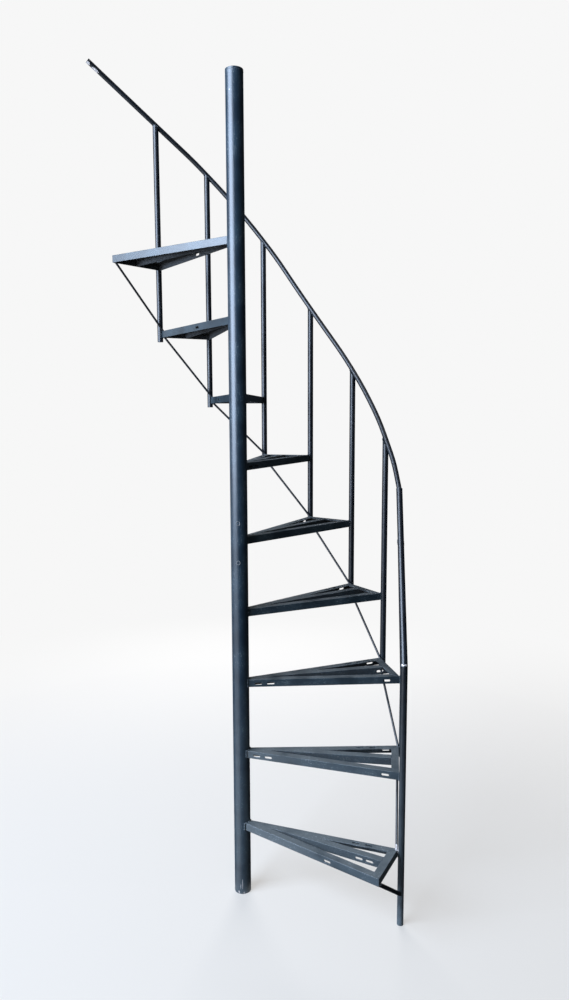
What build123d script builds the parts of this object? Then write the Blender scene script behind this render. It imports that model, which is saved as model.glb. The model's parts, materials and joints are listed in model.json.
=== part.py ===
from build123d import *
from math import atan2, cos, degrees, radians, sin, tan
import os

os.makedirs("parts", exist_ok=True)

# Steel spiral stair, climbing counterclockwise seen from above
# The pole stands on the origin and the newel post stands on +X
tread_count = 9
newel_tread = 2  # the tread whose front corner the newel post carries
first_rise = 275  # floor to the top of the lowest tread
riser = 245  # one tread top to the next
step_angle = 20.5  # degrees from one tread front to the next
front_trim = {1: 2, 4: 0.5, 6: -0.4, 7: -1, 8: 0.9, 9: 0.9, 10: 2.6}  # degrees off even spacing, by tread
top_trim = {1: -13, 2: 3, 3: 7, 4: 6, 5: 7, 6: 8, 7: -8, 8: -4}  # and off even heights

# Centre pole
pole_diameter = 57
pole_wall = 3.5
pole_height = 2727
disc_thickness = 6  # discs that close the pole's foot and top

# Treads, each welded from four lengths of angle iron
corner_radius = 546  # pole axis to the outer corners
angle_leg = 25
angle_thickness = 3
front_offset = 14  # how far the front bar runs in front of the pole axis
back_offset = 4  # how far the back bar runs behind the pole axis
slot_length = 25
slot_width = 8
inner_slots = (60, 102)  # slot centres beside the pole, measured out from its axis along the bar
outer_slot = 45  # this and the rest are measured back from the corner radius
near_slot = 186
far_slot = 284
middle_slots = (108, 72)  # in the leg of the lowest tread's middle bar
timber_slots = (137, 94)  # in the back flange, for screws up into the boards

# Balusters, newel post and the straight lower rail, all from the same tube
tube_diameter = 21.3
tube_wall = 2.6
newel_height = 880
baluster_foot = 15  # what a baluster reaches below the tread that it ends at
saddle_relief = 5  # what a baluster's top stays below the rail's axis, square to it
lean_start = 20  # height over its tread where the lowest baluster bends in to the lower rail
lean_radius = 150

# Handrail, from a thinner tube, bent round in short runs
rail_diameter = 17.2
rail_wall = 2.3
kink_share = 0.42  # how far round its tread the lower rail meets the handrail
rail_over_tread = 575  # handrail axis over evenly spaced tread fronts
rail_lift = {3: -57, 4: 2, 5: 3, 6: -5, 7: 33, 8: 31, 9: -67}  # where it leaves that height, by tread
rail_free_run = 255  # level length of the straight free end
rail_free_slope = 0.6  # its rise over run
bend_share = 0.4  # how much of a run each of its bends takes

# Bracing rods
rod_diameter = 8
rod_inset = 12  # from the back corner of a tread to the rod, along the end bar
rod_seat = 5  # from the corner below to the rod's foot
strut_diameter = 13
strut_low = 105  # height where the strut meets the newel post

weld_gap = 0.2  # between round tubes and what they are welded to
rod_gap = 0.5  # between the rods and the plane that the balusters touch

pole_radius = pole_diameter / 2
tube_radius = tube_diameter / 2
rail_radius = rail_diameter / 2
post_radius = corner_radius + (tube_radius + weld_gap) / cos(radians(step_angle / 2))
first_baluster = newel_tread + 1


def front_angle(tread):
    return (tread - newel_tread) * step_angle + front_trim.get(tread, 0)


def half_step(tread):
    return (front_angle(tread + 1) - front_angle(tread)) / 2


def even_top(tread):
    return first_rise + (tread - 1) * riser


def tread_top(tread):
    return even_top(tread) + top_trim.get(tread, 0)


def polar(radius, angle, height=0):
    return Vector(radius * cos(radians(angle)), radius * sin(radians(angle)), height)


def beside_end_bar(tread, along, outward, height):
    facing = front_angle(tread) + half_step(tread)
    corner = polar(corner_radius, front_angle(tread), height)
    return corner + polar(along, facing + 90) + polar(outward, facing)


# Centre pole with the discs that close it
with BuildPart() as center_pole:
    with BuildSketch(Plane.XY.offset(disc_thickness)):
        Circle(pole_radius)
        Circle(pole_radius - pole_wall, mode=Mode.SUBTRACT)
    extrude(amount=pole_height - 2 * disc_thickness)
center_pole.part.label = "center_pole"
export_step(center_pole.part, "parts/center_pole.step")

with BuildPart() as pole_foot_disc:
    with BuildSketch():
        Circle(pole_radius)
    extrude(amount=disc_thickness)
pole_foot_disc.part.label = "pole_foot_disc"
export_step(pole_foot_disc.part, "parts/pole_foot_disc.step")

with BuildPart() as pole_top_disc:
    with BuildSketch(Plane.XY.offset(pole_height - disc_thickness)):
        Circle(pole_radius)
    extrude(amount=disc_thickness)
pole_top_disc.part.label = "pole_top_disc"
export_step(pole_top_disc.part, "parts/pole_top_disc.step")

def tread_bars(tread):
    # seen from above with the tread's front along X
    # each bar runs from start to end along its outer face, and side tells where its flange lies
    half = half_step(tread)
    front_start = Vector(0, -front_offset)
    front_corner = Vector(corner_radius, 0)
    back_start = polar(back_offset, 2 * half + 90)
    back_corner = polar(corner_radius, 2 * half)
    end_middle = polar(corner_radius * cos(radians(half)), half)
    return {
        "front": (front_start, front_corner, 1),
        "middle": (Vector(0, 0), end_middle, 1),
        "back": (back_start, back_corner, -1),
        "end": (front_corner, back_corner, 1),
    }


def bar_axes(start, end, side):
    along = (end - start).normalized()
    return along, Vector(-along.Y, along.X) * side


def bar_strip(start, end, side, width):
    along, across = bar_axes(start, end, side)
    return start, end, end + across * width, start + across * width


def from_corner(*insets):
    return tuple(corner_radius - inset for inset in insets)


# Slots through the upright legs, which differ from tread to tread
outer = from_corner(outer_slot)
leg_slots = {
    1: {"front": from_corner(near_slot), "middle": from_corner(*middle_slots), "back": outer},
    2: {"front": inner_slots + outer, "back": outer},
    3: {"front": inner_slots + outer, "middle": outer, "back": outer},
    4: {"back": outer},
    5: {"back": outer},
    6: {"front": inner_slots, "back": outer},
    7: {"back": from_corner(near_slot)},
    8: {"front": inner_slots, "back": from_corner(far_slot)},
    9: {"front": from_corner(far_slot)},
}


def build_tread(tread):
    top = Plane(origin=(0, 0, tread_top(tread)), x_dir=polar(1, front_angle(tread)), z_dir=(0, 0, 1))
    bars = tread_bars(tread)
    with BuildPart() as frame:
        # flanges, then legs
        with BuildSketch(top):
            for bar in bars.values():
                with BuildLine():
                    Polyline(*bar_strip(*bar, angle_leg), close=True)
                make_face()
        extrude(amount=-angle_thickness)
        with BuildSketch(top):
            for bar in bars.values():
                with BuildLine():
                    Polyline(*bar_strip(*bar, angle_thickness), close=True)
                make_face()
        extrude(amount=-angle_leg)
        # bar ends mitred to the tread's outline and coped to the pole
        with BuildSketch(top):
            with BuildLine():
                Polyline(*bars["front"][:2], bars["back"][1], bars["back"][0], close=True)
            make_face()
        extrude(amount=-angle_leg, mode=Mode.INTERSECT)
        with BuildSketch(top):
            Circle(pole_radius + weld_gap)
        extrude(amount=-angle_leg, mode=Mode.SUBTRACT)
        # slots down through the back flange
        along, across = bar_axes(*bars["back"])
        turn = degrees(atan2(along.Y, along.X))
        spots = [bars["back"][0] + along * reach + across * (angle_leg / 2) for reach in from_corner(*timber_slots)]
        with BuildSketch(top):
            with Locations(*spots):
                SlotOverall(slot_length, slot_width, rotation=turn)
        extrude(amount=-angle_thickness, mode=Mode.SUBTRACT)
        # slots through the legs, at mid height of the clear leg
        for bar, reaches in leg_slots.get(tread, {}).items():
            start = bars[bar][0]
            along, across = bar_axes(*bars[bar])
            origin = top.from_local_coords(start)
            x_dir = top.from_local_coords(start + along) - origin
            z_dir = top.from_local_coords(start - across) - origin
            face = Plane(origin=origin, x_dir=x_dir, z_dir=z_dir)
            drop = (angle_leg + angle_thickness) / 2 * face.y_dir.Z
            spots = [(reach, -drop) for reach in reaches]
            with BuildSketch(face):
                with Locations(*spots):
                    SlotOverall(slot_length, slot_width)
            extrude(amount=-angle_thickness, mode=Mode.SUBTRACT)
    return frame


for tread in range(1, tread_count + 1):
    frame = build_tread(tread)
    frame.part.label = f"tread_{tread}"
    export_step(frame.part, f"parts/tread_{tread}.step")

# Newel post, from the floor to the lower rail
newel_foot = polar(post_radius, front_angle(newel_tread))
newel_top = newel_foot + Vector(0, 0, newel_height)
with BuildPart() as newel_post:
    with BuildSketch(Plane(newel_foot)):
        Circle(tube_radius)
        Circle(tube_radius - tube_wall, mode=Mode.SUBTRACT)
    extrude(amount=newel_height)
newel_post.part.label = "newel_post"
export_step(newel_post.part, "parts/newel_post.step")


# Handrail axis: corners of a path that touches the circle of posts over each baluster and halfway between
def rail_height(angle):
    low = first_baluster
    while low < tread_count - 1 and angle >= front_angle(low + 1):
        low += 1
    heights = [even_top(tread) + rail_over_tread + rail_lift.get(tread, 0) for tread in (low, low + 1)]
    return heights[0] + (heights[1] - heights[0]) * (angle - front_angle(low)) / (2 * half_step(low))


touches = [front_angle(first_baluster) + kink_share * 2 * half_step(first_baluster)]
for tread in range(first_baluster + 1, tread_count):
    touches += [front_angle(tread), front_angle(tread) + half_step(tread)]
last_angle = front_angle(tread_count)
touches.append(last_angle)
kink = polar(post_radius, touches[0], rail_height(touches[0]))
bends = []
for before, after in zip(touches, touches[1:]):
    angle = (before + after) / 2
    bends.append(polar(post_radius / cos(radians(after - angle)), angle, rail_height(angle)))
free_end = (polar(post_radius, last_angle, rail_height(last_angle) + rail_free_run * rail_free_slope)
            + polar(rail_free_run, last_angle + 90))
rail_points = [kink, *bends, free_end]


def bend_radii(points):
    radii = []
    for before, at, after in zip(points, points[1:], points[2:]):
        turn = (at - before).get_angle(after - at)
        shorter = min((at - before).length, (after - at).length)
        radii.append(bend_share * shorter / tan(radians(turn / 2)))
    return radii


# The lower rail rises straight from the newel post, and the two rails are mitred where they meet
lower_run = (kink - newel_top).normalized()
first_run = (bends[0] - kink).normalized()
mitre = (lower_run + first_run).normalized()
with BuildPart() as lower_rail:
    with BuildSketch(Plane(origin=newel_top - lower_run * tube_diameter, z_dir=lower_run)):
        Circle(tube_radius)
        Circle(tube_radius - tube_wall, mode=Mode.SUBTRACT)
    extrude(amount=(kink - newel_top).length + 2 * tube_diameter)
    split(bisect_by=Plane(newel_top), keep=Keep.TOP)
    split(bisect_by=Plane(origin=kink, z_dir=mitre), keep=Keep.BOTTOM)
lower_rail.part.label = "lower_rail"
export_step(lower_rail.part, "parts/lower_rail.step")

with BuildPart() as handrail:
    with BuildLine() as rail_path:
        FilletPolyline(kink - first_run * rail_diameter, *rail_points[1:], radius=bend_radii(rail_points))
    with BuildSketch(Plane(origin=rail_path.line @ 0, z_dir=rail_path.line % 0)):
        Circle(rail_radius)
        Circle(rail_radius - rail_wall, mode=Mode.SUBTRACT)
    sweep()
    split(bisect_by=Plane(origin=kink + mitre * weld_gap, z_dir=mitre), keep=Keep.TOP)
handrail.part.label = "handrail"
export_step(handrail.part, "parts/handrail.step")


# Balusters, from just below one tread up to a saddle cut under the rail
def build_baluster(tread):
    foot = polar(post_radius, front_angle(tread), tread_top(tread - 1) - angle_leg - baluster_foot)
    knee = polar(post_radius, front_angle(tread), tread_top(tread) + lean_start)
    if tread == first_baluster:
        rail_start, rail_end, radius = newel_top, kink, tube_radius
    else:
        run_number = 2 * (tread - first_baluster) - 1
        rail_start, rail_end = rail_points[run_number:run_number + 2]
        radius = rail_radius
    run = rail_end - rail_start
    around = polar(1, front_angle(tread) + 90)
    crossing = rail_start - run * (rail_start.dot(around) / run.dot(around))
    through = (crossing - knee).normalized() * 2 * tube_diameter
    side = Vector(-run.Y, run.X)
    under = run.cross(side).normalized()
    with BuildPart() as baluster:
        with BuildLine():
            if tread == first_baluster:
                FilletPolyline(foot, knee, crossing + through, radius=lean_radius)
            else:
                Line(foot, crossing + through)
        with BuildSketch(Plane(foot)):
            Circle(tube_radius)
            Circle(tube_radius - tube_wall, mode=Mode.SUBTRACT)
        sweep()
        split(bisect_by=Plane(origin=crossing - under * saddle_relief, z_dir=under), keep=Keep.BOTTOM)
        with BuildSketch(Plane(origin=rail_start, z_dir=run)):
            Circle(radius + weld_gap)
        extrude(amount=run.length, mode=Mode.SUBTRACT)
    return baluster


for tread in range(first_baluster, tread_count + 1):
    baluster = build_baluster(tread)
    baluster.part.label = f"baluster_{tread}"
    export_step(baluster.part, f"parts/baluster_{tread}.step")


# Bracing rods: from under a tread's back corner to the back corner of the tread below
def build_rod(tread):
    plane_gap = -(rod_diameter / 2 + rod_gap)
    chord = 2 * corner_radius * sin(radians(half_step(tread)))
    low = beside_end_bar(tread, -rod_seat, plane_gap, tread_top(tread - 1))
    high = beside_end_bar(tread, chord - rod_inset, plane_gap, tread_top(tread) - angle_leg)
    slope = (high - low).normalized()
    with BuildPart() as rod:
        with BuildSketch(Plane(origin=low - slope * rod_diameter, z_dir=slope)):
            Circle(rod_diameter / 2)
        extrude(amount=(high - low).length + 2 * rod_diameter)
        split(bisect_by=Plane(low), keep=Keep.TOP)
        split(bisect_by=Plane(high), keep=Keep.BOTTOM)
    return rod


for tread in range(2, tread_count + 1):
    rod = build_rod(tread)
    rod.part.label = f"brace_rod_{tread}"
    export_step(rod.part, f"parts/brace_rod_{tread}.step")

# Strut from the newel post up to the lowest tread's front corner
strut_foot = newel_foot + Vector(0, 0, strut_low)
strut_top = beside_end_bar(1, rod_inset, -angle_thickness, tread_top(1) - angle_leg)
strut_slope = (strut_top - strut_foot).normalized()
with BuildPart() as bottom_strut:
    with BuildSketch(Plane(origin=strut_foot, z_dir=strut_slope)):
        Circle(strut_diameter / 2)
    extrude(amount=(strut_top - strut_foot).length + strut_diameter)
    split(bisect_by=Plane(strut_top), keep=Keep.BOTTOM)
    with BuildSketch(Plane(newel_foot)):
        Circle(tube_radius + weld_gap)
    extrude(amount=newel_height, mode=Mode.SUBTRACT)
bottom_strut.part.label = "bottom_strut"
export_step(bottom_strut.part, "parts/bottom_strut.step")
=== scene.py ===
import bpy
import bmesh
import json
import random
from math import asin, cos, degrees, radians, sin, sqrt
from mathutils import Matrix, Vector


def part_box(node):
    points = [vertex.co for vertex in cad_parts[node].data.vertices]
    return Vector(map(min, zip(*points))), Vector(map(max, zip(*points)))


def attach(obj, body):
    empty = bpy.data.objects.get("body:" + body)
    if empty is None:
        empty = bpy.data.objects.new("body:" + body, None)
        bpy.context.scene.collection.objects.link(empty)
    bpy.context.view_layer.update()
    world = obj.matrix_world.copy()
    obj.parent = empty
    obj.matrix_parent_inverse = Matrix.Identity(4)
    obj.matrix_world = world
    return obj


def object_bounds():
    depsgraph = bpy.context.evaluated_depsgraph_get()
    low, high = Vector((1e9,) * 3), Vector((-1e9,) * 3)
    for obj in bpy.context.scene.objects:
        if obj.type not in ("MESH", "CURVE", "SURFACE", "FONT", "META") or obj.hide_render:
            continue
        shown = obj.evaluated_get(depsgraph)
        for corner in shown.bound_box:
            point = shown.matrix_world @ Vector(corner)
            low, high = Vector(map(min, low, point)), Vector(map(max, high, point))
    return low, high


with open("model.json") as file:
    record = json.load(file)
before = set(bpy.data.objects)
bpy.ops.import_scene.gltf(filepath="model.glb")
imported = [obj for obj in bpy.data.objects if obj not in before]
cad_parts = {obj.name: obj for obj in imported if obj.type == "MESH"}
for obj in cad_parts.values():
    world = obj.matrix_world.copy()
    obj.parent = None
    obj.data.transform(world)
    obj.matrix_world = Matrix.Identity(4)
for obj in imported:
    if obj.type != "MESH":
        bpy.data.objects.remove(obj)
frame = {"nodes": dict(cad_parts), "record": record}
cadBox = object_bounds()
print("frame loaded")

# The stair's own measures, in metres and degrees, that paint and welds follow
stair = {
    "treads": 9,
    "newelTread": 2,  # the tread whose front corner the newel post carries, on +X
    "firstRod": 2,  # the lowest tread with a brace rod
    "stepAngle": 20.5,
    "frontTrim": {1: 2, 4: 0.5, 6: -0.4, 7: -1, 8: 0.9, 9: 0.9, 10: 2.6},  # off even spacing, by tread
    "cornerRadius": 0.546,
    "legHeight": 0.025,  # of the angle iron
    "legThickness": 0.003,
    "frontOffset": 0.014,  # how far the front bar's line passes before the pole's axis
    "backOffset": 0.004,  # and the back bar's line past it
    "saddleRelief": 0.005,  # a baluster's top ends at least this far under its rail's axis
    "railRadius": 0.0086,
    "kinkShare": 0.42,  # how far round the lowest baluster's tread the two rails meet
    "kinkHeight": 1.411,
    "lowestLean": 0.0153,  # how far the lowest baluster's top leans in
    "rodInset": 0.012,  # from a tread's outer corner in to its rod's upper end
    "rodSeat": 0.005,  # how far before the tread's front corner its rod's foot stands
    "rodPlane": 0.0045,  # from the end bar's outer face in to a rod's axis
    "strutLow": 0.105,  # height of the bottom strut's foot on the newel post
    "discThickness": 0.006,
}
poleLow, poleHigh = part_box("center_pole")
poleRadius = (poleHigh.x - poleLow.x) / 2
postLow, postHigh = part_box("newel_post")
tubeRadius = (postHigh.y - postLow.y) / 2
postRadius = (postHigh.x + postLow.x) / 2
firstBaluster = stair["newelTread"] + 1
railEnd = next(mount for mount in frame["record"]["mounts"] if mount["name"] == "handrail_end")
upright = Vector((0, 0, 1))


def treadsFrom(first):
    return range(first, stair["treads"] + 1)


def frontAngle(tread):
    return (tread - stair["newelTread"]) * stair["stepAngle"] + stair["frontTrim"].get(tread, 0)


def halfStep(tread):
    return (frontAngle(tread + 1) - frontAngle(tread)) / 2


def middleAngle(tread):
    return frontAngle(tread) + halfStep(tread)


def treadTop(tread):
    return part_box(f"tread_{tread}")[1].z


def polar(radius, angle, height=0.0):
    return Vector((radius * cos(radians(angle)), radius * sin(radians(angle)), height))


def inTread(tread, along, across):
    # on the tread's top: along its front radius, and across towards its back
    angle = frontAngle(tread)
    return polar(along, angle, treadTop(tread)) + polar(across, angle + 90)


def besideEndBar(tread, along, outward, height):
    # along the tread's end bar from its front corner, and outward from the bar's outer face
    corner = polar(stair["cornerRadius"], frontAngle(tread), height)
    return corner + polar(along, middleAngle(tread) + 90) + polar(outward, middleAngle(tread))


def hexColor(code):
    values = [int(code[i:i + 2], 16) / 255 for i in (1, 3, 5)]
    linear = [v / 12.92 if v <= 0.04045 else ((v + 0.055) / 1.055) ** 2.4 for v in values]
    return (*linear, 1.0)


def addNode(tree, kind, settings=None, links=None):
    node = tree.nodes.new(kind)
    for name, value in (settings or {}).items():
        if isinstance(name, str) and hasattr(node, name):
            setattr(node, name, value)
        else:
            node.inputs[name].default_value = value
    for socket, source in (links or {}).items():
        tree.links.new(source, node.inputs[socket])
    return node


def newTree(name):
    material = bpy.data.materials.new(name)
    material.use_nodes = True
    material.node_tree.nodes.clear()
    return material, material.node_tree


def addObject(name, bm, material):
    mesh = bpy.data.meshes.new(name)
    bm.to_mesh(mesh)
    bm.free()
    mesh.materials.append(material)
    thing = bpy.data.objects.new(name, mesh)
    bpy.context.scene.collection.objects.link(thing)
    return thing


# Alkyd enamel, brushed by hand over primed mild steel
# It gives a deep greyish blue with broad soft highlights, brush marks, grey dust, pale flecks and worn edges
enamel = {
    "coats": {  # each kind of piece has its own shade, deep where the brush left it thick, and gloss
        "blue": {"deep": "#1a2b38", "thin": "#2b3f4c", "shine": 0.75},
        "grey": {"deep": "#222f36", "thin": "#36464e", "shine": 0.75},
        "dark": {"deep": "#12161b", "thin": "#1e242b", "shine": 0.55},
    },
    "patterns": {  # noise: size across and along the grain in metres, and detail
        "patches": (0.07, 0.07, 4.0),
        "brush": (0.0050, 0.12, 2.0),
        "peel": (0.005, 0.005, 2.0),
        "spots": (0.007, 0.007, 3.0),
        "flecks": (0.0035, 0.0050, 2.0),  # coarser than real flecks, so that they show
        "lines": (0.0022, 0.05, 1.0),
    },
    "shiftWay": (1.0, 0.7, 1.3),  # the way that a piece's shift moves its patterns
    "layers": {  # the pattern that each follows, from none to full, and likewise the patches it lies in
        "tone": ("patches", (0.30, 0.72), (0.0, 0.01)),
        "chips": ("spots", (0.65, 0.70), (0.48, 0.62)),
        "scratches": ("lines", (0.67, 0.75), (0.44, 0.58)),
        "flecks": ("flecks", (0.61, 0.70), (0.38, 0.60)),
        "dust": ("level", (0.55, 0.98), (0.15, 0.55)),  # on faces that look up
        "floorDustAndSheen": ("height", (0.95, 0.20), (0.05, 0.50)),  # paler towards the floor: floor dust and a painted sheen from the floor's light, by metres up from the floor
        "footDirtAndSheen": ("height", (0.24, 0.0), (0.10, 0.50)),  # paler still at the foot: splashed dirt and a painted sheen, likewise
        "wear": ("arris", (0.985, 0.90), (0.38, 0.55)),  # where handling thins the paint
        "recessShade": ("recess", (0.98, 0.76), (0.0, 0.01)),  # painted shade, darker where other faces of the same tread close round
    },
    "scratchShare": 0.6,  # how much the scratches show beside the chips
    "covers": {  # the layers that show each paint, and those that are matt
        "floorDustAndSheen": ("floorDustAndSheen", "footDirtAndSheen"),
        "dust": ("dust",),
        "primer": ("chips", "scratches", "flecks"),
        "recessShade": ("recessShade",),
        "worn": ("wear",),
        "matt": ("dust", "chips", "scratches", "flecks", "footDirtAndSheen", "recessShade"),
    },
    "paints": {  # one over the other in this order
        # the paler colour near the floor: floor dust and a painted sheen
        "floorDustAndSheen": "#717d82",
        "dust": "#7b7972",
        "primer": "#a3aaa9",
        # the colour of the painted shade in the recesses
        "recessShade": "#0d0e0f",
        "worn": "#8f9ba1",
    },
    "edgeRadius": 0.0018,
    "recessReach": 0.10,  # metres to the next face, within which a face under a flange is tucked away
    "lookAround": 4,  # samples that find the arrises and recesses
    "roughness": 0.31,
    "brushRoughness": 0.08,
    "mattRoughness": 0.85,
    "ior": 1.52,
    "brushRelief": 0.6,  # height of the brush marks beside the peel
    "chipRelief": -0.8,
    "reliefDepth": 0.0004,
}

# Mild steel laid bare where the paint is off
# It gives pale, barely metallic marks with ragged edges, mottled brown with rust
bareSteel = {
    "steel": "#ebe5e1",
    "rust": "#8a6252",
    "metallic": 0.3,
    "fray": 1.4,  # how far the peel frays a mark's edge
    "edge": (1.75, 1.60),  # where a frayed mark starts and is full, beside its own size
    "rustSpots": (0.50, 0.66),
    "rustMost": 0.6,
}


def enamelPatterns(tree, coords, normal, shift, grain, turn):
    pattern = {}
    for part, (across, along, detail) in enamel["patterns"].items():
        place = addNode(tree, "ShaderNodeMapping", {
            "vector_type": "TEXTURE",
            "Location": tuple(shift * way for way in enamel["shiftWay"]),
            "Rotation": (0.0, 0.0, radians(turn)),
            "Scale": (along, across, across) if grain == "X" else (across, across, along),
        }, {"Vector": coords})
        pattern[part] = addNode(tree, "ShaderNodeTexNoise", {"Scale": 1.0, "Detail": detail},
                                {"Vector": place.outputs["Vector"]}).outputs["Fac"]
    pattern["level"] = addNode(tree, "ShaderNodeSeparateXYZ", links={0: normal}).outputs["Z"]
    pattern["height"] = addNode(tree, "ShaderNodeSeparateXYZ", links={0: coords}).outputs["Z"]
    return pattern


def enamelLayers(tree, pattern, amounts):
    layers = {}
    for layer, (source, (none, full), (patchNone, patchFull)) in enamel["layers"].items():
        if not amounts.get(layer):
            continue
        found = addNode(tree, "ShaderNodeMapRange", {
            "interpolation_type": "SMOOTHSTEP", "From Min": none, "From Max": full,
        }, {"Value": pattern[source]}).outputs[0]
        inPatches = addNode(tree, "ShaderNodeMapRange", {
            "interpolation_type": "SMOOTHSTEP", "From Min": patchNone, "From Max": patchFull,
            "To Max": amounts[layer],
        }, {"Value": pattern["patches"]}).outputs[0]
        layers[layer] = addNode(tree, "ShaderNodeMath", {"operation": "MULTIPLY"},
                                {0: found, 1: inPatches}).outputs[0]
    return layers


def enamelCovers(tree, layers):
    covers = {}
    for paint, names in enamel["covers"].items():
        for name in names:
            if name in layers and paint in covers:
                covers[paint] = addNode(tree, "ShaderNodeMath", {"operation": "MAXIMUM"},
                                        {0: covers[paint], 1: layers[name]}).outputs[0]
            elif name in layers:
                covers[paint] = layers[name]
    return covers


def bareMarks(tree, coords, frayed, marks):
    # each mark: its middle, the way it runs, half its width and length in metres, and how bare it is
    shown = None
    for point, run, across, along, strength in marks:
        place = addNode(tree, "ShaderNodeMapping", {
            "vector_type": "TEXTURE",
            "Location": tuple(point),
            "Rotation": tuple(run.to_track_quat("Z", "Y").to_euler()),
            "Scale": (across, across, along),
        }, {"Vector": coords}).outputs["Vector"]
        far = addNode(tree, "ShaderNodeVectorMath", {"operation": "LENGTH"}, {0: place}).outputs["Value"]
        ragged = addNode(tree, "ShaderNodeMath", {"operation": "MULTIPLY_ADD", 1: bareSteel["fray"]},
                         {0: frayed, 2: far}).outputs[0]
        near = addNode(tree, "ShaderNodeMapRange", {
            "From Min": bareSteel["edge"][0], "From Max": bareSteel["edge"][1], "To Max": strength,
        }, {"Value": ragged}).outputs[0]
        if shown is None:
            shown = near
        else:
            shown = addNode(tree, "ShaderNodeMath", {"operation": "MAXIMUM"}, {0: shown, 1: near}).outputs[0]
    return shown


def enamelMaterial(name, coat, amounts, relief, shift=0.0, grain="Z", turn=0.0, marks=()):
    material, tree = newTree(name)
    coords = addNode(tree, "ShaderNodeTexCoord").outputs["Object"]
    normal = addNode(tree, "ShaderNodeNewGeometry").outputs["Normal"]
    pattern = enamelPatterns(tree, coords, normal, shift, grain, turn)
    surface = normal
    if "wear" in amounts:  # the arrises, rounded
        surface = addNode(tree, "ShaderNodeBevel", {
            "samples": enamel["lookAround"], "Radius": enamel["edgeRadius"]}).outputs["Normal"]
        pattern["arris"] = addNode(tree, "ShaderNodeVectorMath", {"operation": "DOT_PRODUCT"},
                                   {0: surface, 1: normal}).outputs["Value"]
    # painted shade: recesses darkened by how closely the piece's own faces close round them
    if "recessShade" in amounts:
        pattern["recess"] = addNode(tree, "ShaderNodeAmbientOcclusion", {
            "samples": enamel["lookAround"], "only_local": True, "Distance": enamel["recessReach"],
        }).outputs["AO"]
    amounts = {"tone": 1.0, "scratches": enamel["scratchShare"] * amounts["chips"], **amounts}
    layers = enamelLayers(tree, pattern, amounts)
    covers = enamelCovers(tree, layers)

    shade = enamel["coats"][coat]
    colour = addNode(tree, "ShaderNodeMixRGB", {
        "Color1": hexColor(shade["deep"]), "Color2": hexColor(shade["thin"]),
    }, {"Fac": layers["tone"]}).outputs[0]
    for paint, code in enamel["paints"].items():
        if paint in covers:
            colour = addNode(tree, "ShaderNodeMixRGB", {"Color2": hexColor(code)},
                             {"Fac": covers[paint], "Color1": colour}).outputs[0]

    rough = addNode(tree, "ShaderNodeMath", {
        "operation": "MULTIPLY_ADD", 1: enamel["brushRoughness"], 2: enamel["roughness"],
    }, {0: pattern["brush"]}).outputs[0]
    rough = addNode(tree, "ShaderNodeMixRGB", {"Color2": (enamel["mattRoughness"],) * 3 + (1.0,)},
                    {"Fac": covers["matt"], "Color1": rough}).outputs[0]

    height = addNode(tree, "ShaderNodeMath", {"operation": "MULTIPLY_ADD", 1: enamel["brushRelief"]},
                     {0: pattern["brush"], 2: pattern["peel"]}).outputs[0]
    height = addNode(tree, "ShaderNodeMath", {"operation": "MULTIPLY_ADD", 1: enamel["chipRelief"]},
                     {0: covers["primer"], 2: height}).outputs[0]
    bump = addNode(tree, "ShaderNodeBump", {"Strength": relief, "Distance": enamel["reliefDepth"]},
                   {"Height": height, "Normal": surface}).outputs["Normal"]
    shader = addNode(tree, "ShaderNodeBsdfPrincipled", {
        "IOR": enamel["ior"], "Specular IOR Level": shade["shine"]}, {"Normal": bump})

    if marks:
        shown = bareMarks(tree, coords, pattern["peel"], marks)
        rusty = addNode(tree, "ShaderNodeMapRange", {
            "From Min": bareSteel["rustSpots"][0], "From Max": bareSteel["rustSpots"][1],
            "To Max": bareSteel["rustMost"],
        }, {"Value": pattern["spots"]}).outputs[0]
        steel = addNode(tree, "ShaderNodeMixRGB", {
            "Color1": hexColor(bareSteel["steel"]), "Color2": hexColor(bareSteel["rust"]),
        }, {"Fac": rusty}).outputs[0]
        colour = addNode(tree, "ShaderNodeMixRGB",
                         links={"Fac": shown, "Color1": colour, "Color2": steel}).outputs[0]
        metal = addNode(tree, "ShaderNodeMath", {"operation": "MULTIPLY", 1: bareSteel["metallic"]},
                        {0: shown}).outputs[0]
        tree.links.new(metal, shader.inputs["Metallic"])
    tree.links.new(colour, shader.inputs["Base Color"])
    tree.links.new(rough, shader.inputs["Roughness"])
    addNode(tree, "ShaderNodeOutputMaterial", links={"Surface": shader.outputs[0]})
    return material


def paintNodes(nodes, material):
    for node in nodes:
        frame["nodes"][node].material_slots[0].material = material


# The pole's coat is the bluest, scuffed at the foot, with paint knocked off in a few places
poleWear = {
    "paint": {"coat": "blue", "relief": 0.10, "amounts": {
        "dust": 0.15, "wear": 0.6, "chips": 0.3, "flecks": 0.3, "floorDustAndSheen": 0.3, "footDirtAndSheen": 0.3}},
    "marks": (  # height, angle round the pole, half width, half height and how bare
        (0.036, -71, 0.0013, 0.017, 0.8),
        (0.028, -84, 0.0009, 0.010, 0.5),
        (0.006, -97, 0.003, 0.004, 1.0),
        (0.005, -60, 0.0025, 0.003, 0.9),
        (2.66, -100, 0.0012, 0.0025, 0.5),
    ),
}
poleMarks = [(polar(poleRadius, angle, height), upright, *size)
             for height, angle, *size in poleWear["marks"]]
poleEnamel = enamelMaterial("poleEnamel", marks=poleMarks, **poleWear["paint"])
paintNodes(("center_pole", "pole_foot_disc", "pole_top_disc"), poleEnamel)

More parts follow.
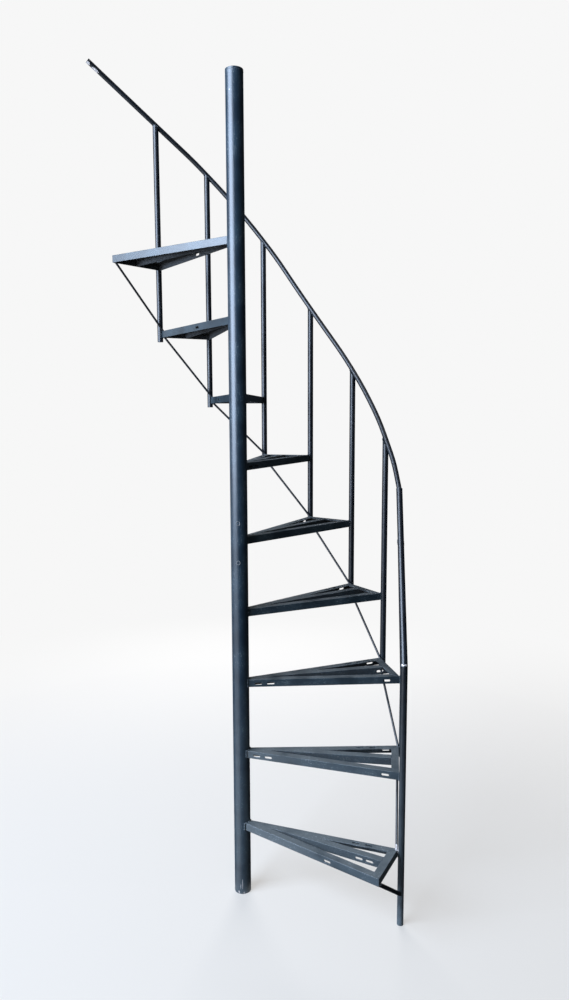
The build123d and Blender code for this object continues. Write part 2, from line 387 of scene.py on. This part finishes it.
# The treads' coat is greyer, with dust on the flanges, and the lower a tread is, the more knocks it has
treadWear = {
    "spans": {  # at the top tread and at the lowest
        "dust": (0.50, 0.32),
        "wear": (0.3, 1.0),
        "chips": (0.15, 0.7),
        "flecks": (0.0, 0.7),
        "relief": (0.04, 0.14),
    },
    "gather": 1.5,  # over 1, the knocks gather at the lowest treads
    "floorDustAndSheen": 0.55,
    "recessShade": 0.25,  # painted shade in the recesses
    "recessShadeStep": 0.25,  # more for each tread up
    "recessShadeMost": 0.95,
    "shiftStep": 0.31,
}
for tread in treadsFrom(1):
    low = ((stair["treads"] - tread) / (stair["treads"] - 1)) ** treadWear["gather"]
    amounts = {name: top + (lowest - top) * low for name, (top, lowest) in treadWear["spans"].items()}
    relief = amounts.pop("relief")
    amounts["floorDustAndSheen"] = treadWear["floorDustAndSheen"]
    # painted shade in the recesses, more for each tread up
    amounts["recessShade"] = min(treadWear["recessShadeMost"], treadWear["recessShade"] + treadWear["recessShadeStep"] * tread)
    treadEnamel = enamelMaterial(f"treadEnamel{tread}", "grey", amounts, relief, grain="X",
                                 turn=middleAngle(tread), shift=treadWear["shiftStep"] * tread)
    paintNodes([f"tread_{tread}"], treadEnamel)

# The handrail's coat is nearly black and polished by hands; its free end is bare on its lower side
railWear = {
    "paint": {"coat": "dark", "relief": 0.04, "shift": 0.53, "amounts": {"dust": 0.3, "chips": 0.15}},
    "tip": (0.006, 0.011, 1.0),
    "tipFromEnd": 0.007,
    "patch": (0.006, 0.013, 1.0),
    "patchFromEnd": 0.038,
    "side": (-105, -0.75),  # angle round the stair and slope of the worn side
}
railTip = Vector(railEnd["pos_m"])
railAxis = Vector(railEnd["axis"])
railSide = polar(1, *railWear["side"]).normalized() * stair["railRadius"]
railMarks = [(railTip - railAxis * railWear[f"{mark}FromEnd"] + railSide, railAxis, *railWear[mark])
             for mark in ("tip", "patch")]
railEnamel = enamelMaterial("railEnamel", marks=railMarks, **railWear["paint"])
paintNodes(["handrail"], railEnamel)

# The same dark coat on the posts and the lower rail, paler near the floor with dirt and a painted sheen, and
# bare at two welds
tubeWear = {
    "paint": {"coat": "dark", "relief": 0.04, "shift": 0.53, "amounts": {
        "dust": 0.2, "chips": 0.15, "floorDustAndSheen": 0.35, "footDirtAndSheen": 1.0}},
    "rim": (0.012, 0.004, 1.0),
    "rimUp": 0.004,  # from the post's top to the mark's middle
    "seam": (0.004, 0.010, 0.9),
    "seamPlace": (-0.004, 0.262),  # aside from the post's inner line, and up
}
tubeMarks = [
    (Vector((postRadius, 0, postHigh.z + tubeWear["rimUp"])), upright, *tubeWear["rim"]),
    (Vector((postRadius - tubeRadius, *tubeWear["seamPlace"])), upright, *tubeWear["seam"]),
]
tubeEnamel = enamelMaterial("tubeEnamel", marks=tubeMarks, **tubeWear["paint"])
paintNodes(["newel_post", "lower_rail"], tubeEnamel)
paintNodes([f"baluster_{tread}" for tread in treadsFrom(firstBaluster)], tubeEnamel)

# The rods' dark coat is chipped more, and pale at the lowest rod's welded foot: bare steel and a painted
# highlight
rodWear = {
    "paint": {"coat": "dark", "relief": 0.04, "shift": 0.87, "amounts": {"dust": 0.25, "chips": 0.3}},
    # a pale mark at the lowest rod's foot: bare steel and a painted highlight
    "bareFootAndGlint": (0.009, 0.024, 0.7),
}
rodFoot = besideEndBar(stair["firstRod"], -stair["rodSeat"], -stair["rodPlane"],
                       treadTop(stair["firstRod"] - 1))
rodEnamel = enamelMaterial("rodEnamel", marks=[(rodFoot, upright, *rodWear["bareFootAndGlint"])], **rodWear["paint"])
paintNodes(["bottom_strut"], rodEnamel)
paintNodes([f"brace_rod_{tread}" for tread in treadsFrom(stair["firstRod"])], rodEnamel)
print("paint done")

# Weld beads: overlapping flattened drops laid along each seam, painted over with the treads' coat
weld = {
    "seed": 7,
    "pitch": 1.25,  # from drop to drop, as a share of the bead's width
    "spread": 0.15,  # how much one drop differs from the next
    "flatness": 0.75,
    "dropSegments": 8,
    "dropRings": 5,
    "poleSeam": 0.0030,
    "cornerSeam": 0.0016,
    "mitreSeam": 0.0011,
    "tubeSeam": 0.0022,
    "rodSeam": 0.0020,
    "saddleSeam": 0.0020,
    "discSeam": 0.0010,
    "plugSeam": 0.0012,
    "proud": 0.3,  # from a round tube's face out to a bead's middle, as a share of the bead
    "discSunk": 0.5,  # the same, inwards, at the pole's two discs
    "cornerIn": 1.4,  # the same, in from the corner of two bars
    "mitreIn": 0.002,
    "beside": 4,  # degrees round the pole from a tread's edge to the bead down its leg
    "postNear": 16,  # degrees round a post, from its inner line, to a tread's two beads
    "postFar": 38,
    "feel": 0.012,  # how far beside a baluster the rail's slope is felt for
    "postCap": (60, 300),  # degrees round the newel post's top that its bead covers
    "kinkProud": 0.0008,
    "strutProud": 0.001,
    "strutRing": 0.0065,
    "poleSteps": 8,
    "discSteps": 36,
    "plugSteps": 18,
    "tubeSteps": 24,
    "capSteps": 16,
    "kinkSteps": 20,
    "rodSteps": 8,
    "strutSteps": 12,
    "plugs": ((1.312, -75.4), (1.180, -75.7)),  # two plugged holes in the pole: height and angle round it
    "plugRadius": 0.0065,
    "plugMark": (0.012, 0.012, 0.4),
    "jointMark": (0.009, 0.009, 1.0),  # the bright bead where the lowest tread meets the newel post
    "jointPlace": (-0.002, -0.004, -0.004),  # from the post's inner line, at the tread's top
    "paint": {"coat": "grey", "relief": 0.10, "shift": 1.7, "amounts": {
        "dust": 0.25, "chips": 0.6, "flecks": 0.4, "floorDustAndSheen": 0.5}},
}
draw = random.Random(weld["seed"])
brightJoint = Vector((postRadius - tubeRadius, 0, treadTop(1))) + Vector(weld["jointPlace"])
weldMarks = [(polar(poleRadius, angle, height), upright, *weld["plugMark"])
             for height, angle in weld["plugs"]]
weldMarks.append((brightJoint, upright, *weld["jointMark"]))
weldEnamel = enamelMaterial("weldEnamel", marks=weldMarks, **weld["paint"])


def layBead(bm, path, width):
    seam = bmesh.new()  # each seam on its own, which is far quicker
    lengths = [(end - start).length for start, end in zip(path, path[1:])]
    total = sum(lengths)
    reach = 0.0
    while reach <= total:
        left = reach
        for start, end, length in zip(path, path[1:], lengths):
            if left <= length or end is path[-1]:
                break
            left -= length
        along = (end - start).normalized()
        jitter = Vector([draw.uniform(-1, 1) for _ in range(3)]) * width * weld["spread"]
        size = width * draw.uniform(1 - weld["spread"], 1 + weld["spread"])
        turn = along.to_track_quat("X", "Z").to_matrix().to_4x4()
        flat = Matrix.Diagonal((weld["flatness"], 1.0, weld["flatness"], 1.0))
        place = Matrix.Translation(start + along * left + jitter) @ turn @ flat
        bmesh.ops.create_uvsphere(seam, u_segments=weld["dropSegments"], v_segments=weld["dropRings"],
                                  radius=size, matrix=place)
        reach += weld["pitch"] * width
    mesh = bpy.data.meshes.new("seam")
    seam.to_mesh(mesh)
    seam.free()
    bm.from_mesh(mesh)
    bpy.data.meshes.remove(mesh)


def ring(centre, radius, steps, sweep=(0, 360), lift=None):
    points = []
    for step in range(steps + 1):
        angle = sweep[0] + (sweep[1] - sweep[0]) * step / steps
        point = centre + polar(radius, angle)
        if lift:
            point.z += lift(angle)
        points.append(point)
    return points


def finishPiece(name, bm):
    for face in bm.faces:
        face.smooth = True
    piece = addObject(name, bm, weldEnamel)
    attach(piece, "root")
    return piece


def poleWelds():
    bm = bmesh.new()
    seat = poleRadius + weld["poleSeam"] * weld["proud"]
    frontMeets = -degrees(asin(stair["frontOffset"] / poleRadius))
    for tread in treadsFrom(1):
        # under each tread's top, from its front bar round to its back bar, and down the leg of each
        backMeets = 2 * halfStep(tread) + degrees(asin(stair["backOffset"] / poleRadius))
        front = frontAngle(tread) + frontMeets
        back = frontAngle(tread) + backMeets
        top = treadTop(tread)
        layBead(bm, ring(Vector((0, 0, top)), seat, weld["poleSteps"], (front, back)), weld["poleSeam"])
        for angle in (front - weld["beside"], back + weld["beside"]):
            down = [polar(seat, angle, top), polar(seat, angle, top - stair["legHeight"])]
            layBead(bm, down, weld["poleSeam"])
    for height in (stair["discThickness"], poleHigh.z):
        edge = poleRadius - weld["discSeam"] * weld["discSunk"]
        layBead(bm, ring(Vector((0, 0, height)), edge, weld["discSteps"]), weld["discSeam"])
    for height, angle in weld["plugs"]:
        loop = []
        for step in range(weld["plugSteps"] + 1):
            turn = radians(360 * step / weld["plugSteps"])
            aside = degrees(weld["plugRadius"] / poleRadius) * cos(turn)
            loop.append(polar(poleRadius, angle + aside, height + weld["plugRadius"] * sin(turn)))
        layBead(bm, loop, weld["plugSeam"])
    return finishPiece("welds_at_pole", bm)


def cornerWelds():
    bm = bmesh.new()
    down = Vector((0, 0, -stair["legHeight"]))
    for tread in treadsFrom(1):
        # each outer corner, and where its bar's line ends at the pole
        top = treadTop(tread)
        back = frontAngle(tread + 1)
        frontEnds = (inTread(tread, stair["cornerRadius"], 0), inTread(tread, 0, -stair["frontOffset"]))
        backEnds = (polar(stair["cornerRadius"], back, top), polar(stair["backOffset"], back + 90, top))
        for (corner, inner), (other, _) in ((frontEnds, backEnds), (backEnds, frontEnds)):
            inward = ((inner - corner).normalized() + (other - corner).normalized()).normalized()
            slant = sin((inner - corner).angle(other - corner) / 2)
            mitre = [corner + inward * weld["mitreIn"], corner + inward * stair["legHeight"] / slant]
            layBead(bm, mitre, weld["mitreSeam"])
            seat = corner + inward * weld["cornerSeam"] * weld["cornerIn"]
            layBead(bm, [seat, seat + down], weld["cornerSeam"])
        # the middle bar's flange against the end bar's
        flangeEdge = stair["cornerRadius"] * cos(radians(halfStep(tread))) - stair["legHeight"]
        start = polar(flangeEdge, middleAngle(tread), top)
        layBead(bm, [start, start + polar(stair["legHeight"], middleAngle(tread) + 90)], weld["mitreSeam"])
    return finishPiece("welds_at_tread_corners", bm)


def postWelds():
    bm = bmesh.new()
    near, far = weld["postNear"], weld["postFar"]
    for tread in treadsFrom(1):
        seams = []
        if tread >= stair["newelTread"]:
            seams.append((frontAngle(tread), (-near, far)))
        if tread < stair["treads"]:
            seams.append((frontAngle(tread + 1), (-far, near)))
        for angle, sides in seams:
            axis = polar(postRadius, angle, treadTop(tread))
            for side in sides:
                start = axis + polar(tubeRadius + weld["tubeSeam"] * weld["proud"], angle + 180 - side)
                layBead(bm, [start, start + Vector((0, 0, -stair["legHeight"]))], weld["tubeSeam"])
    return finishPiece("welds_at_posts", bm)


def railWelds():
    bm = bmesh.new()
    for tread in treadsFrom(firstBaluster):
        angle = frontAngle(tread)
        lowest = tread == firstBaluster
        rail = frame["nodes"]["lower_rail" if lowest else "handrail"]
        railRadius = tubeRadius if lowest else stair["railRadius"]
        lean = stair["lowestLean"] if lowest else 0.0
        # the rail's own height and slope over the baluster, found by dropping lines onto it
        tops = []
        for beside in (-weld["feel"], 0.0, weld["feel"]):
            over = polar(postRadius - lean, angle, cadBox[1].z + 1) + polar(beside, angle + 90)
            hit, point, _, _ = rail.ray_cast(over, -upright)
            tops.append(point.z if hit else None)
        slope = (tops[2] - tops[0]) / (2 * weld["feel"])
        steep = sqrt(1 + slope ** 2)
        axis = tops[1] - railRadius * steep

        def saddle(turn):
            along = cos(radians(turn - angle - 90)) * tubeRadius
            aside = sin(radians(turn - angle - 90)) * tubeRadius
            under = sqrt(max(railRadius ** 2 - aside ** 2, 0)) * steep
            return slope * along - max(under, stair["saddleRelief"] * steep)

        loop = ring(polar(postRadius - lean, angle, axis), tubeRadius, weld["tubeSteps"], lift=saddle)
        layBead(bm, loop, weld["saddleSeam"])
    # the newel post's top, round its inner side, and the kink between the two rails
    newelTop = Vector((postRadius, 0, postHigh.z))
    layBead(bm, ring(newelTop, tubeRadius, weld["capSteps"], weld["postCap"]), weld["saddleSeam"])
    kinkAngle = frontAngle(firstBaluster) + stair["kinkShare"] * 2 * halfStep(firstBaluster)
    kink = polar(postRadius, kinkAngle, stair["kinkHeight"])
    tilt = (kink - newelTop).normalized().to_track_quat("Z", "Y").to_matrix()
    loop = ring(Vector((0, 0, 0)), stair["railRadius"] + weld["kinkProud"], weld["kinkSteps"])
    layBead(bm, [kink + tilt @ point for point in loop], weld["saddleSeam"])
    return finishPiece("welds_under_handrail", bm)


def rodWelds():
    bm = bmesh.new()
    inward = -stair["rodPlane"]
    for tread in treadsFrom(stair["firstRod"]):
        chord = 2 * stair["cornerRadius"] * sin(radians(halfStep(tread)))
        low = besideEndBar(tread, -stair["rodSeat"], inward, treadTop(tread - 1))
        high = besideEndBar(tread, chord - stair["rodInset"], inward, treadTop(tread) - stair["legHeight"])
        for centre in (low, high):
            layBead(bm, ring(centre, stair["rodPlane"], weld["rodSteps"]), weld["rodSeam"])
    foot = Vector((postRadius, 0, stair["strutLow"]))
    top = besideEndBar(1, stair["rodInset"], -stair["legThickness"], treadTop(1) - stair["legHeight"])
    slope = (top - foot).normalized()
    for centre in (foot + slope * (tubeRadius + weld["strutProud"]), top):
        layBead(bm, ring(centre, weld["strutRing"], weld["strutSteps"]), weld["rodSeam"])
    return finishPiece("welds_at_rods", bm)


# Weld spatter: fine drops on the treads near the pole, painted over
spatter = {
    "drops": 14,  # on each tread
    "sizes": (0.0004, 0.0009),
    "clear": 0.004,  # from the pole to the nearest drop
    "reach": 0.035,
    "across": (-0.006, 0.012),
}


def spatterDrops():
    bm = bmesh.new()
    for tread in treadsFrom(1):
        for _ in range(spatter["drops"]):
            size = draw.uniform(*spatter["sizes"])
            along = poleRadius + spatter["clear"] + draw.random() * spatter["reach"]
            across = draw.uniform(*spatter["across"])
            bmesh.ops.create_icosphere(bm, subdivisions=1, radius=size,
                                       matrix=Matrix.Translation(inTread(tread, along, across)))
    return finishPiece("weld_spatter", bm)


for makePiece in (poleWelds, cornerWelds, postWelds, railWelds, rodWelds, spatterDrops):
    made = makePiece()
    print(made.name, len(made.data.polygons), "faces")
print("welds done")

# The photo's camera: its place from the stair's axis, and how it was turned, in metres and degrees
photo = {
    "focal": 718.5,  # pixels, for a frame 1000 high
    "frameHeight": 1000,
    "sensor": 36.0,
    "distance": 2.370,
    "height": 1.667,
    "azimuth": -67.5,
    "lookRight": 3.662,
    "lookDown": 6.775,
    "roll": -0.196,
    "nearest": 0.05,
    "farthest": 60,
}


def makeCamera():
    data = bpy.data.cameras.new("photoCamera")
    data.sensor_width = photo["sensor"]
    data.lens = photo["focal"] / photo["frameHeight"] * photo["sensor"]
    data.clip_start = photo["nearest"]
    data.clip_end = photo["farthest"]
    camera = bpy.data.objects.new("photoCamera", data)
    bpy.context.scene.collection.objects.link(camera)
    camera.location = polar(photo["distance"], photo["azimuth"], photo["height"])
    heading = photo["azimuth"] + 180 - photo["lookRight"]
    camera.matrix_world = (Matrix.Translation(camera.location)
                           @ Matrix.Rotation(radians(heading - 90), 4, "Z")
                           @ Matrix.Rotation(radians(90 - photo["lookDown"]), 4, "X")
                           @ Matrix.Rotation(radians(photo["roll"]), 4, "Z"))
    bpy.context.scene.camera = camera


makeCamera()
print("camera placed")

# The white room round the stair, and the faint cool light that it throws back
room = {
    "white": 0.93,
    "colour": "#ffffff",
    "fill": 0.07,
    "fillColour": "#f6faff",
}

# Matt floor paint, rolled on: a pale warm ground with a fine grain that takes a soft shadow
# It fades into the white room, and throws back less light than it shows, so that undersides stay dark
floorLook = {
    "reach": 14.0,
    "sides": 64,
    "colour": "#ebe4d9",
    "roughness": 0.8,
    "bounceColour": "#5a5752",
    "bounceRoughness": 0.9,
    "grain": 180.0,  # grains to a metre
    "grainDetail": 3.0,
    "grainRelief": 0.15,
    "grainDepth": 0.001,
    "fadeFrom": 0.7,
    "fadeTo": 3.6,
    "glowNear": 0.45,  # how much of the white room the floor shows beside the stair
}


def seenRays(tree):
    # 1 for what the camera sees, straight, mirrored or through glass, and 0 for light that bounces on
    rays = addNode(tree, "ShaderNodeLightPath").outputs
    seen = addNode(tree, "ShaderNodeMath", {"operation": "MAXIMUM"},
                   {0: rays["Is Camera Ray"], 1: rays["Is Glossy Ray"]}).outputs[0]
    return addNode(tree, "ShaderNodeMath", {"operation": "MAXIMUM"},
                   {0: seen, 1: rays["Is Transmission Ray"]}).outputs[0]


def makeRoom():
    world = bpy.data.worlds.new("paleRoom")
    world.use_nodes = True
    bpy.context.scene.world = world
    tree = world.node_tree
    tree.nodes.clear()
    fill = addNode(tree, "ShaderNodeBackground", {
        "Color": hexColor(room["fillColour"]), "Strength": room["fill"]}).outputs[0]
    plain = addNode(tree, "ShaderNodeBackground", {
        "Color": hexColor(room["colour"]), "Strength": room["white"]}).outputs[0]
    mixed = addNode(tree, "ShaderNodeMixShader", links={0: seenRays(tree), 1: fill, 2: plain}).outputs[0]
    addNode(tree, "ShaderNodeOutputWorld", links={"Surface": mixed})


def floorMaterial():
    material, tree = newTree("paleFloor")
    coords = addNode(tree, "ShaderNodeTexCoord").outputs["Object"]
    far = addNode(tree, "ShaderNodeVectorMath", {"operation": "LENGTH"}, {0: coords}).outputs["Value"]
    fade = addNode(tree, "ShaderNodeMapRange", {
        "interpolation_type": "SMOOTHSTEP", "From Min": floorLook["fadeFrom"],
        "From Max": floorLook["fadeTo"], "To Min": floorLook["glowNear"],
    }, {"Value": far}).outputs[0]
    grain = addNode(tree, "ShaderNodeTexNoise", {
        "Scale": floorLook["grain"], "Detail": floorLook["grainDetail"],
    }, {"Vector": coords}).outputs["Fac"]
    bump = addNode(tree, "ShaderNodeBump", {
        "Strength": floorLook["grainRelief"], "Distance": floorLook["grainDepth"],
    }, {"Height": grain}).outputs[0]
    matt = addNode(tree, "ShaderNodeBsdfPrincipled", {
        "Base Color": hexColor(floorLook["colour"]), "Roughness": floorLook["roughness"],
    }, {"Normal": bump}).outputs[0]
    glow = addNode(tree, "ShaderNodeEmission", {
        "Color": hexColor(room["colour"]), "Strength": room["white"]}).outputs[0]
    pale = addNode(tree, "ShaderNodeMixShader", links={0: fade, 1: matt, 2: glow}).outputs[0]
    bounce = addNode(tree, "ShaderNodeBsdfPrincipled", {
        "Base Color": hexColor(floorLook["bounceColour"]), "Roughness": floorLook["bounceRoughness"],
    }).outputs[0]
    mixed = addNode(tree, "ShaderNodeMixShader", links={0: seenRays(tree), 1: bounce, 2: pale}).outputs[0]
    addNode(tree, "ShaderNodeOutputMaterial", links={"Surface": mixed})
    return material


def makeFloor():
    bm = bmesh.new()
    bmesh.ops.create_circle(bm, cap_ends=True, segments=floorLook["sides"], radius=floorLook["reach"])
    floor = addObject("floor", bm, floorMaterial())


# Each lamp: place round the stair, size, height of its middle, power in watts, colour, the height that it
# aims at, and whether it lights the stair and whether the stair mirrors it
lamps = {
    "left": {"azimuth": -125, "distance": 3.9, "height": 3.8, "size": (3.8, 3.2), "power": 520,
             "colour": "#ccdffb", "aim": 3.6, "lights": True, "mirrored": True},
    "leftLow": {"azimuth": -125, "distance": 3.9, "height": 1.7, "size": (3.8, 1.0), "power": 156,
                "colour": "#ccdffb", "aim": 1.7, "lights": False, "mirrored": True},
    "front": {"azimuth": -50, "distance": 4.5, "height": 3.2, "size": (2.0, 2.0), "power": 12,
              "colour": "#ffffff", "aim": 1.2, "lights": True, "mirrored": False},
    "back": {"azimuth": 112, "distance": 4.2, "height": 1.8, "size": (3.0, 2.6), "power": 200,
             "colour": "#f4f7ff", "aim": 1.4, "lights": True, "mirrored": False},
    "strip": {"azimuth": 165, "distance": 2.2, "height": 1.5, "size": (0.5, 2.9), "power": 6.5,
              "colour": "#dfe8f5", "aim": 1.5, "lights": False, "mirrored": True},
}


def makeLamps():
    for name, lamp in lamps.items():
        data = bpy.data.lights.new(name, "AREA")
        data.shape = "RECTANGLE"
        data.size, data.size_y = lamp["size"]
        data.energy = lamp["power"]
        data.color = hexColor(lamp["colour"])[:3]
        light = bpy.data.objects.new(name, data)
        bpy.context.scene.collection.objects.link(light)
        light.visible_diffuse = lamp["lights"]
        light.visible_glossy = lamp["mirrored"]
        place = polar(lamp["distance"], lamp["azimuth"], lamp["height"])
        aim = (place - Vector((0, 0, lamp["aim"]))).to_track_quat("Z", "Y")
        light.matrix_world = Matrix.Translation(place) @ aim.to_matrix().to_4x4()


# Black felt on a curved screen and a mat, open towards the left lamps
# It swallows light, so that the enamel mirrors something dark; the camera doesn't see it
screen = {
    "from": -92,
    "to": 196,
    "near": 0.05,
    "distance": 2.3,
    "lift": 0.004,
    "height": 6.0,
    "steps": 60,
    "colour": "#0d0f11",
    "roughness": 1.0,
}


def makeScreen():
    material, tree = newTree("blackFelt")
    felt = addNode(tree, "ShaderNodeBsdfPrincipled", {
        "Base Color": hexColor(screen["colour"]), "Roughness": screen["roughness"]}).outputs[0]
    addNode(tree, "ShaderNodeOutputMaterial", links={"Surface": felt})
    bm = bmesh.new()
    places = ((screen["near"], screen["lift"]), (screen["distance"], screen["lift"]),
              (screen["distance"], screen["height"]))
    profile = [bm.verts.new(polar(reach, screen["from"], height)) for reach, height in places]
    edges = [bm.edges.new(pair) for pair in zip(profile, profile[1:])]
    bmesh.ops.spin(bm, geom=profile + edges, cent=(0, 0, 0), axis=(0, 0, 1), steps=screen["steps"],
                   angle=radians(screen["to"] - screen["from"]))
    dark = addObject("darkScreen", bm, material)
    dark.visible_camera = False
    dark.visible_shadow = False
    dark.visible_diffuse = False


makeFloor()
makeRoom()
makeLamps()
makeScreen()
bpy.context.scene.view_settings.view_transform = "Standard"
print("studio done")
